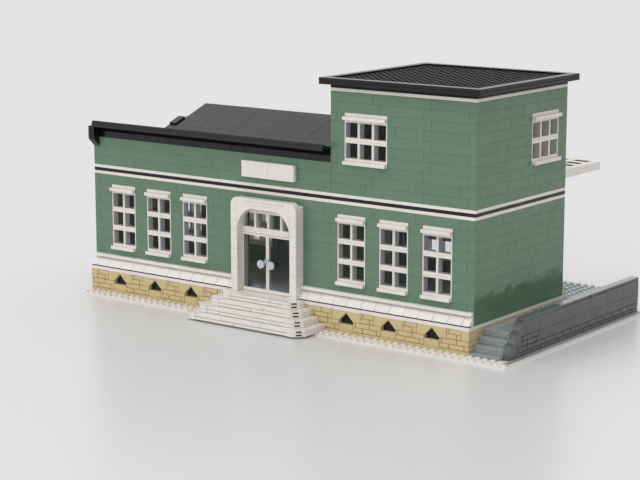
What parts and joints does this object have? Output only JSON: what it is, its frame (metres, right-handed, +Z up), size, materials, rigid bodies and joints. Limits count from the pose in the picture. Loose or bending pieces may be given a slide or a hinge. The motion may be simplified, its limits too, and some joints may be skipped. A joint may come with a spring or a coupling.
{
  "type": "toy model of a railway station building, built of interlocking plastic bricks",
  "caption": "Brick-built toy railway station: gabled wing and square tower on a studded base, arched door with stone-like steps, side walk with parapet and rear platform.",
  "frame": {"origin": "middle of the footprint at the underside of the base", "axes": "+X along the street front from the wing to the tower, +Y from the street to the tracks, +Z up"},
  "size_m": [0.512, 0.288, 0.2416],
  "materials": {
    "white_brick": "satin moulded plastic",
    "green_brick": "satin moulded plastic",
    "tan_brick": "satin moulded plastic",
    "black_brick": "satin moulded plastic",
    "dark_grey_brick": "satin moulded plastic",
    "light_grey_brick": "satin moulded plastic",
    "metal_grey": "polished moulded plastic",
    "clear_pane": "clear moulded plastic"
  },
  "bodies": {
    "building": {"baseplate": "white_brick", "canopy": "white_brick", "cornice": "black_brick", "door_frame": "white_brick", "door_header": "green_brick", "door_surround": "white_brick", "entrance_step_1": "white_brick", "entrance_step_2": "white_brick", "entrance_step_3": "white_brick", "entrance_step_4": "white_brick", "foot_rails": "white_brick", "foot_slopes": "white_brick", "front_wall_left": "green_brick", "front_wall_right": "green_brick", "ground_floor": "white_brick", "parapet": "dark_grey_brick", "parapet_cap": "light_grey_brick", "platform": "light_grey_brick", "platform_edge": "white_brick", "plinth_front": "tan_brick", "plinth_rear": "tan_brick", "plinth_sides": "tan_brick", "rear_walls": "green_brick", "roof_gable": "black_brick", "side_step_1": "light_grey_brick", "side_step_2": "light_grey_brick", "side_step_3": "light_grey_brick", "side_walk": "light_grey_brick", "side_walls": "green_brick", "sign_board": "white_brick", "string_course_black": "black_brick", "string_course_white": "white_brick", "tower_cap": "white_brick", "tower_deck": "black_brick", "tower_floor": "white_brick", "tower_roof_edge": "black_brick", "tower_upper_front": "green_brick", "tower_upper_rear": "green_brick", "tower_upper_sides": "green_brick", "window_frames": "white_brick", "window_glass": "clear_pane", "window_heads": "white_brick", "window_ledges": "white_brick", "wing_flat_roof": "black_brick", "wing_roof": "black_brick", "wing_upper_end": "green_brick", "wing_upper_walls": "green_brick"},
    "door_left": {"door_glass_left": "clear_pane", "door_handle_left": "metal_grey", "door_leaf_left": "white_brick"},
    "door_right": {"door_glass_right": "clear_pane", "door_handle_right": "metal_grey", "door_leaf_right": "white_brick"}
  },
  "joints": [
    {"name": "door_left_hinge", "type": "hinge", "parent": "building", "child": "door_left", "pos_m": [-0.0534, -0.0994, 0.0272], "axis": [0, 0, 1], "range_deg": [0, 90]},
    {"name": "door_right_hinge", "type": "hinge", "parent": "building", "child": "door_right", "pos_m": [0.0054, -0.0994, 0.0272], "axis": [0, 0, -1], "range_deg": [0, 90]}
  ]
}
